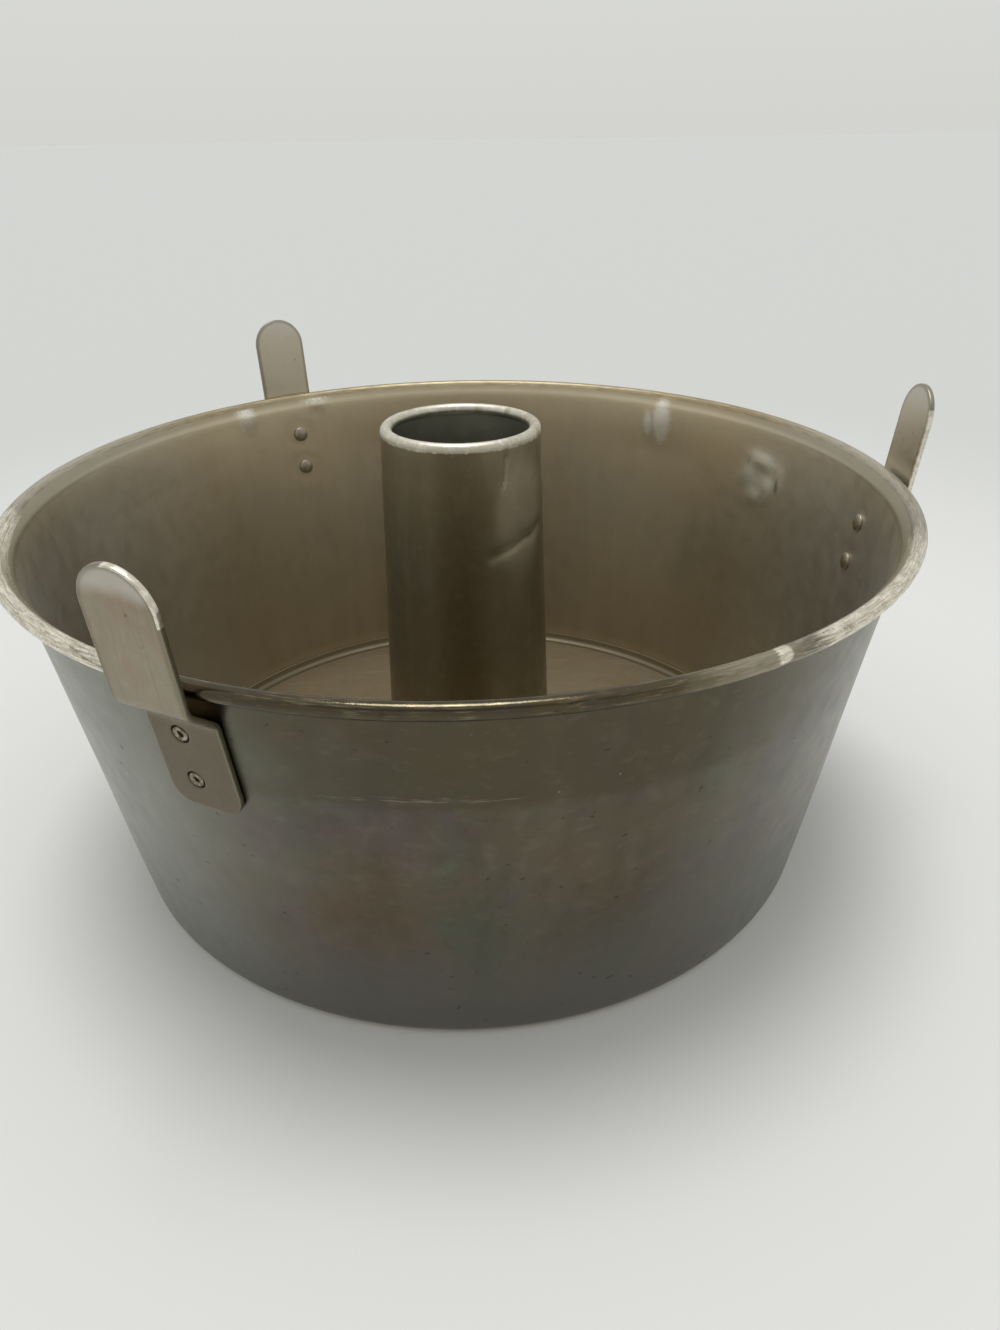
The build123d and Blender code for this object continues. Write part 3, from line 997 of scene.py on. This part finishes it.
dent_run = arc_distance(tube_dent[0][0], tube_dent[-1][0], tube_radius(tube_dent[0][1]))
print("the tube's dent runs over", round(dent_run), "mm of its side")

# %% [markdown]
# ## The cooling feet
#
# A foot is a strip of thicker sheet, sheared to length, with one end rounded, and bent so that
# it clears the bead. All three are alike, so one is made and Geometry Nodes sets it in its
# three places. It is drawn flat first, as a grid of (across, along) points inside its outline,
# because the outline is rounded at both ends. Then its edges are rolled over, and last the
# flat grid is laid on the bent line.

# %% Sizes of a foot
foot_width, foot_thickness = 19.0, 1.5
seat_gap, bead_gap = 0.08, 1.2
paddle_lean = 5.5
foot_rise, foot_drop = 28.0, 36.0
joggle_top, joggle_foot = 3.6, 10.0
foot_bend = 1.5
corner_radius = 5.0
edge_round = 0.32

wall_up, wall_out = leaning(wall_lean)
paddle_up, paddle_out = leaning(paddle_lean)
wall_datum = Vector((wall_top_radius, bead_center.y)) + wall_out * wall_thickness
seat = wall_datum + wall_out * seat_gap
paddle = bead_center + paddle_out * (bead_radius + bead_gap)
foot_line = finer(
    bent(
        [
            seat - wall_up * foot_drop,
            seat - wall_up * joggle_foot,
            paddle - paddle_up * joggle_top,
            paddle + paddle_up * foot_rise,
        ],
        [foot_bend + foot_thickness, foot_bend],
        step=7.0,
    ),
    1.5,
)
foot_length = sum((b - a).length for a, b in zip(foot_line, foot_line[1:]))
print("a foot is", round(foot_length, 1), "mm of strip,", foot_width, "mm wide")


# %% Lay a flat grid inside the foot's outline
grid_columns, corner_rows, top_rows = 26, 7, 14


def flat_rows(half_width, corner, first, last):
    """Rows of (across, along) points: rounded lower corners, straight sides and a round top."""
    shares = [2 * i / grid_columns - 1 for i in range(grid_columns + 1)]
    turns = [math.pi / 2 * i / corner_rows for i in range(corner_rows)]
    lows = [first + corner * (1 - math.cos(turn)) for turn in turns]
    middle = finer([Vector((0, first + corner)), Vector((0, last))], 0.9)
    rows = []
    for along in lows + [p.y for p in middle]:
        missing = max(0.0, first + corner - along)
        half = half_width - corner + math.sqrt(max(0.0, corner**2 - missing**2))
        rows.append([Vector((half * s, along)) for s in shares])
    for i in range(1, top_rows + 1):
        v = i / top_rows
        wide, tall = half_width * math.sqrt(1 - v * v / 2), half_width * v
        rows.append([Vector((wide * s, last + tall * math.sqrt(1 - s * s / 2))) for s in shares])
    return rows


def border_of(grid):
    """The outer points of a grid of rows, in order round it."""
    right, left = [row[-1] for row in grid[1:]], [row[0] for row in grid[-2:0:-1]]
    return grid[0][:] + right + grid[-1][-2::-1] + left


half = foot_width / 2
inset = (half - edge_round, corner_radius - edge_round, edge_round)
rows = flat_rows(*inset, foot_length - half)
columns = len(rows[0])
border = border_of(rows)
border_out = [
    -left_of((after - before).normalized())
    for before, after in zip(border[-1:] + border[:-1], border[1:] + border[:1])
]
print("flat grid of", len(rows), "rows and", columns, "columns,", len(border), "points round it")


# %% Bend the strip to its line
line_normals = [-n for n in normals_of(foot_line)]
line_stations = [0.0]
for a, b in zip(foot_line, foot_line[1:]):
    line_stations.append(line_stations[-1] + (b - a).length)


def on_strip(across, along, height):
    """The place in space of a flat point, height above the foot's inner face."""
    i = 0
    while i < len(line_stations) - 2 and line_stations[i + 1] < along:
        i += 1
    share = (along - line_stations[i]) / (line_stations[i + 1] - line_stations[i])
    spot = foot_line[i].lerp(foot_line[i + 1], share)
    out = line_normals[i].lerp(line_normals[i + 1], fade(share, 0.0, 1.0)).normalized()
    spot = spot + out * height
    return Vector((spot.x, across, spot.y)) * MM


flat_points, faces, face_loops = [], [], []
for height in (foot_thickness, 0.0):
    start = len(flat_points)
    grid = [[start + r * columns + c for c in range(columns)] for r in range(len(rows))]
    face_loops.append(border_of(grid))
    flat_points += [(p.x, p.y, height) for row in rows for p in row]
    for low, high in zip(grid, grid[1:]):
        faces += zip(low, low[1:], high[1:], high)
turns = [math.radians(degrees) for degrees in (25, 55, 90)]
drops = [(edge_round * math.sin(a), edge_round * (1 - math.cos(a))) for a in turns]
rolls = [(grow, foot_thickness - drop) for grow, drop in drops] + drops[::-1]
loops = [face_loops[0]]
for grow, height in rolls:
    loops.append(list(range(len(flat_points), len(flat_points) + len(border))))
    flat_points += [(*(p + n * grow), height) for p, n in zip(border, border_out)]
loops.append(face_loops[1])
for upper, lower in zip(loops, loops[1:]):
    faces += zip(upper, upper[1:] + upper[:1], lower[1:] + lower[:1], lower)

foot_mesh = bpy.data.meshes.new("one_foot")
foot_mesh.from_pydata([on_strip(*p) for p in flat_points], [], faces)
face_outwards(foot_mesh, sharp_angle=80.0)
print("one foot has", len(foot_mesh.vertices), "vertices")

# %% [markdown]
# ### Setting a piece in its places
#
# The feet were riveted on by eye, so they aren't an even third of a turn apart. The tree reads
# its places from a small mesh: one vertex for each foot, which carries the turn round the axis
# and is shifted by how far that foot was set higher. The piece to set comes in as an object.
# The feet use it once, and the rivets and the pockets that hold them use it again, with
# places of their own. An even Mesh Circle would be shorter, but it can't miss a third.

# %% Build the tree that sets a piece in its places
inputs = {"Places": "Geometry", "Piece": "Object", "Finish": "Material"}
setting, given = new_tree("set_in_places", inputs, "Copies")
points = add(setting, "GeometryNodeMeshToPoints", {"Mesh": given["Places"]}).outputs[0]
turn = add(setting, "GeometryNodeInputNamedAttribute", {"Name": "turn"}, data_type="FLOAT")
inputs = {"Axis": (0, 0, 1), "Angle": turn.outputs["Attribute"]}
rotation = add(setting, "FunctionNodeAxisAngleToRotation", inputs).outputs[0]
piece = add(setting, "GeometryNodeObjectInfo", {"Object": given["Piece"]}).outputs["Geometry"]
inputs = {"Points": points, "Instance": piece, "Rotation": rotation}
copies = add(setting, "GeometryNodeInstanceOnPoints", inputs).outputs[0]
end_tree(setting, copies, given["Finish"])


def set_in_places(name, piece_mesh, azimuths, material):
    """Copies of a piece made at azimuth 0, each turned to its azimuth and raised with its foot."""
    places = bpy.data.meshes.new(name + "_places")
    shifts = []
    for side, azimuth in azimuths.items():
        lift, around = wall_up * foot_raises[side], math.radians(azimuth)
        shift = Vector((lift.x * math.cos(around), lift.x * math.sin(around), lift.y))
        shifts.append(shift * MM)
    places.from_pydata(shifts, [], [])
    write_marks(places, [{"turn": math.radians(azimuth)} for azimuth in azimuths.values()])
    piece = bpy.data.objects.new(name + "_piece", piece_mesh)
    scene.collection.objects.link(piece)
    copies = with_tree(name, places, setting, {"Piece": piece, "Finish": material})
    bpy.data.objects.remove(piece)
    return copies


print(setting.name, "has", len(setting.nodes), "nodes")

# %% [markdown]
# ### The finish of the feet
#
# The feet are the same tarnished aluminium, but hands and shelves have touched them more. They
# are a warm grey, paler towards the round top, dark along the edge and in the rivet pockets.
# Their faces towards the pan are painted paler, painted light from the front and above.
# The front foot has been knocked bare on one shoulder.

# %% Finish of the feet
foot_patterns = {
    "clouds": (16.0, (1, 1, 1.5), (0, 0, 0), 3, 0.4),
    "tints": (11.0, (1, 1, 1), (0.4, 1.1, 0.3), 3, 0.5),
    "mottle": (4.0, (1, 1, 1), (0.9, 0.2, 0.5), 4, 0.0),
    "strokes": (1.4, (1, 1, 9), (0.1, 0.1, 0), 2, 0.0),
    "hairs": (0.8, (1, 1, 16), (0.3, 0.5, 0.0), 0, 0.0),
    "grain": (0.6, (1, 1, 1), (0, 0, 0), 2, 0.0),
    "chips": (2.0, (1, 1, 1), (1.0, 0.3, 0.2), 2, 0.0),
    "knocks": (1.4, (1, 1, 1), (0.2, 0.7, 0.4), 4, 0.5),
}
# Towards the outline the strip turns darker, and on its rounded edge lighter again: a painted
# highlight along the edge.
strip_coat = coat("9a907e", ("mottle", 0.4, 0.33), None, """
clouds 0.42 0.62 0.5 8b7f6b
tints 0.52 0.66 0.4 9c866e
tints 0.46 0.34 0.3 8f8e81
mottle 0.52 0.7 0.25 a79d8a
strokes 0.46 0.34 0.2 7d7361
hairs 0.68 0.76 0.15 bbb3a1
ragged_low 34 26 0.85 625a4a
back 0.3 0.7 0.85 d6cdb9
ragged_top 63 67 0.55 d0cec6
from_edge 1.5 0.5 0.45 6f6955
from_edge 0.5 0.1 0.6 8c8672
chips 0.3 0.25 0.5 5a5443
pocket 0.3 0.8 0.85 4b4536
""")
knocked_coat = coat("d2cbb9", ("knocks", 0.28, 0.4), ("ragged_wear", 0.75, 1.0), """
knocks 0.45 0.6 0.8 f1ecde
""")
foot_finish = metal(
    "sheared_aluminium_strip",
    foot_patterns,
    marks=("along", "from_edge", "pocket", "edge_wear", "back"),
    sums={
        "ragged_top": (("along", 1.0), ("clouds", 8.0)),
        "ragged_low": (("along", 1.0), ("tints", 6.0)),
        "ragged_wear": (("edge_wear", 1.0), ("knocks", 0.4)),
    },
    coats=[strip_coat, knocked_coat],
    relief=(("mottle", 0.4), ("grain", 0.3), ("strokes", 0.2)),
)

# %% [markdown]
# ### The pocket round each rivet
#
# The tail of each rivet is spread in a shallow round pocket. One round cutter is spun from its
# section, the tree sets it at all six rivets, and a Boolean cuts them out of the feet.


# %% Cut the rivet pockets
def spun(name, section, steps=40):
    """A closed round mesh from (radius, height) points that start and end on the axis."""
    verts, faces, rings = [], [], []
    for radius, height in section:
        count = 1 if radius < 1e-9 else steps
        rings.append([len(verts) + (i if count > 1 else 0) for i in range(steps)])
        for i in range(count):
            spin = 2 * math.pi * i / steps
            verts.append(Vector((radius * math.cos(spin), radius * math.sin(spin), height)) * MM)
    for lower, upper in zip(rings, rings[1:]):
        for i in range(steps):
            j = (i + 1) % steps
            face = list(dict.fromkeys((lower[i], lower[j], upper[j], upper[i])))
            if len(face) > 2:
                faces.append(face)
    mesh = bpy.data.meshes.new(name)
    mesh.from_pydata(verts, [], faces)
    face_outwards(mesh)
    return mesh


def rivet_pair(name, mesh, roughen=None):
    """A turned piece set at both rivets of the foot at azimuth 0."""
    pair = bmesh.new()
    for number, drop in enumerate(rivet_drops):
        spot = seat - wall_up * drop
        axis = Vector((wall_out.x, 0, wall_out.y)).to_track_quat("Z", "Y")
        copy = mesh.copy()
        if roughen:
            roughen(copy, number)
        copy.transform(Matrix.LocRotScale(Vector((spot.x, 0, spot.y)) * MM, axis, None))
        pair.from_mesh(copy)
    both = bpy.data.meshes.new(name)
    pair.to_mesh(both)
    pair.free()
    return both


pocket_radius, pocket_depth, pocket_chamfer = 2.25, 0.6, 0.25
pocket_cutter = spun(
    "pocket_cutter",
    [
        (0.0, foot_thickness - pocket_depth),
        (pocket_radius - 0.15, foot_thickness - pocket_depth),
        (pocket_radius, foot_thickness - pocket_depth + 0.15),
        (pocket_radius, foot_thickness - pocket_chamfer),
        (pocket_radius + pocket_chamfer + 0.1, foot_thickness + 0.1),
        (0.0, foot_thickness + 0.1),
    ],
)
feet = set_in_places("cooling_feet", foot_mesh, foot_azimuths, foot_finish)
cutter_pair = rivet_pair("two_cutters", pocket_cutter)
cutters = set_in_places("cutters", cutter_pair, rivet_azimuths, foot_finish)
cut = feet.modifiers.new("pockets", "BOOLEAN")
cut.operation, cut.object, cut.solver = "DIFFERENCE", cutters, "EXACT"
bake(feet, cut)
bpy.data.objects.remove(cutters)
print("with their pockets the feet have", len(feet.data.vertices), "vertices")

# %% [markdown]
# ### Flat coordinates for the finish
#
# Wear follows the strip's own edges, so the material needs to know where a point was on the
# flat strip. Each vertex is turned back to azimuth 0 and measured against the bent line.


# %% Helpers for flat coordinates
def flat_place(point):
    """(across, along, height) of a point on the foot at azimuth 0, in millimetres."""
    spot = Vector((point.x, point.z)) / MM
    best = (math.inf, 0.0, 0.0)
    for i, (a, b) in enumerate(zip(foot_line, foot_line[1:])):
        run = b - a
        share = fade((spot - a).dot(run) / run.length_squared, 0.0, 1.0)
        away = spot - a.lerp(b, share)
        if away.length < best[0]:
            height = away.dot(line_normals[i].lerp(line_normals[i + 1], share))
            best = (away.length, line_stations[i] + share * run.length, height)
    return point.y / MM, best[1], best[2]


def edge_distance(across, along):
    """How far a flat point lies inside the foot's outline."""
    top = foot_length - half
    if along > top:
        return half - math.hypot(across, along - top)
    inside = min(half - abs(across), along)
    corner_x, corner_y = abs(across) - (half - corner_radius), corner_radius - along
    if corner_x > 0 and corner_y > 0:
        inside = corner_radius - math.hypot(corner_x, corner_y)
    return inside


print("the middle of the strip is", edge_distance(0, foot_length / 2), "mm from its edge")

# %% Mark the feet
# Where an edge is bare: foot, across from and to, along from, all in mm, and strength
bare_edges = [
    ("front_left", -1.0, half + 1.0, foot_length - 12.0, 0.85),
    ("front_left", -half - 1.0, 1.0 - half, 20.0, 0.55),
    ("right", -half - 1.0, 1.0 - half, 30.0, 1.1),
]
usual_wear, pocket_floor, back_height = 0.2, 0.7, 0.1
marks = []
for vertex in feet.data.vertices:
    azimuth = math.degrees(math.atan2(vertex.co.y, vertex.co.x))
    side = min(foot_azimuths, key=lambda s: abs(arc_distance(azimuth, foot_azimuths[s], 1.0)))
    back = Matrix.Rotation(-math.radians(foot_azimuths[side]), 3, "Z") @ vertex.co
    shift = wall_up * foot_raises[side] * MM
    across, along, height = flat_place(back - Vector((shift.x, 0, shift.y)))
    edge = edge_distance(across, along)
    aside = across - math.radians(rivet_azimuths[side] - foot_azimuths[side]) * seat.x
    from_rivet = min(math.hypot(aside, along - (foot_drop - drop)) for drop in rivet_drops)
    wear = usual_wear
    for foot, low, high, start, strength in bare_edges:
        if side == foot and low < across < high and along > start:
            wear = strength
    values = {"along": along, "from_edge": edge}
    values["pocket"] = float(from_rivet < pocket_radius + 0.1 and height > pocket_floor)
    values["edge_wear"] = wear * (edge < edge_round + 0.05)
    # The faces towards the pan are painted paler: painted light from the front and above.
    values["back"] = float(height < back_height)
    marks.append(values)
write_marks(feet.data, marks)
face_outwards(feet.data, sharp_angle=50.0)
for polygon in feet.data.polygons:
    polygon.use_smooth = True
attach(feet, "pan")
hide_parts("foot_right", "foot_rear_left", "foot_front_left")
print(feet.name, len(feet.data.polygons), "faces")

# %% [markdown]
# ## The rivets
#
# Small tubular rivets hold each foot. The domed head is inside the pan, and the hollow end is
# rolled over in the pocket on the outside. One rivet is spun from its section, its rolled end
# is made a little uneven, and the tree of the feet sets a pair of them in each place.

# %% Finish of the rivets
rivet_patterns = {
    "mottle": (1.3, (1, 1, 1), (0.9, 0.2, 0.5), 4, 0.0),
    "grain": (0.5, (1, 1, 1), (0, 0, 0), 2, 0.0),
    "knocks": (0.9, (1, 1, 1), (0.2, 0.7, 0.4), 3, 0.5),
}
head_coat = coat("a39a87", ("mottle", 0.5, 0.42), None, """
mottle 0.45 0.65 0.4 8f8673
mottle 0.4 0.3 0.3 b3aa97
""")
tail_coat = coat("8f8774", ("knocks", 0.3, 0.42), ("tail", 0.2, 0.8), """
mottle 0.48 0.6 0.6 b9b3a4
mottle 0.46 0.36 0.7 4f493b
from_axis 0.95 0.75 0.9 2f2b22
from_axis 1.75 1.95 0.5 5d5747
""")
rivet_finish = metal(
    "tubular_rivet_aluminium",
    rivet_patterns,
    marks=("tail", "from_axis"),
    sums={},
    coats=[head_coat, tail_coat],
    relief=(("mottle", 0.6), ("grain", 0.3)),
)

# %% Make a rivet and set the pairs
head_radius, head_height, head_edge = 2.7, 1.2, 0.4
shank_radius, tail_outer, tail_proud, bore_outer = 1.6, 2.0, 0.1, 0.85
head_seat = head_radius**2 / foot_radius / 2
head_face = -(seat_gap + wall_thickness + head_seat)
tail_top = foot_thickness + tail_proud
tail_face = foot_thickness - pocket_depth
dome = []
for turn in (math.radians(degrees) for degrees in range(0, 91, 15)):
    drop = head_edge + (head_height - head_edge) * math.cos(turn)
    dome.append((head_radius * math.sin(turn), head_face - drop))
rivet_section = dome + [
    (head_radius, head_face - 0.1),
    (head_radius - 0.1, head_face),
    (shank_radius, head_face),
    (shank_radius, tail_face),
    (tail_outer - 0.1, tail_face),
    (tail_outer, tail_face + 0.1),
    (tail_outer, tail_top - 0.35),
    (tail_outer - 0.12, tail_top - 0.12),
    (tail_outer - 0.4, tail_top),
    (bore_outer + 0.3, tail_top - 0.02),
    (bore_outer + 0.06, tail_top - 0.2),
    (bore_outer, tail_top - 0.5),
    (bore_outer - 0.05, tail_top - 1.05),
    (0.0, tail_top - 1.1),
]
one_rivet = spun("one_rivet", rivet_section, steps=36)
spots = [v.co / MM for v in one_rivet.vertices]
marks = [{"tail": float(p.z > 0.5), "from_axis": math.hypot(p.x, p.y)} for p in spots]
write_marks(one_rivet, marks)


rough_scale, rough_depth = 1.3, 0.14


def roll_unevenly(mesh, number):
    """Pulls the rolled end in and down by up to a tenth of a millimetre."""
    for vertex in mesh.vertices:
        x, y, z = (c / MM for c in vertex.co)
        if z > tail_face + 0.15 and math.hypot(x, y) > 0.1:
            spot = Vector((x, y, z + 10 * number))
            rough = abs(noise.noise(spot * rough_scale)) * rough_depth
            vertex.co -= Vector((x, y, 0)).normalized() * rough * MM
            vertex.co.z -= rough * MM


rivet_twins = rivet_pair("two_rivets", one_rivet, roll_unevenly)
rivets = set_in_places("tubular_rivets", rivet_twins, rivet_azimuths, rivet_finish)
face_outwards(rivets.data, sharp_angle=55.0)
for polygon in rivets.data.polygons:
    polygon.use_smooth = True
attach(rivets, "pan")
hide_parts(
    *[f"rivet_{side}_{level}" for side in foot_azimuths for level in ("upper", "lower")],
)
print(rivets.name, len(rivets.data.polygons), "faces")
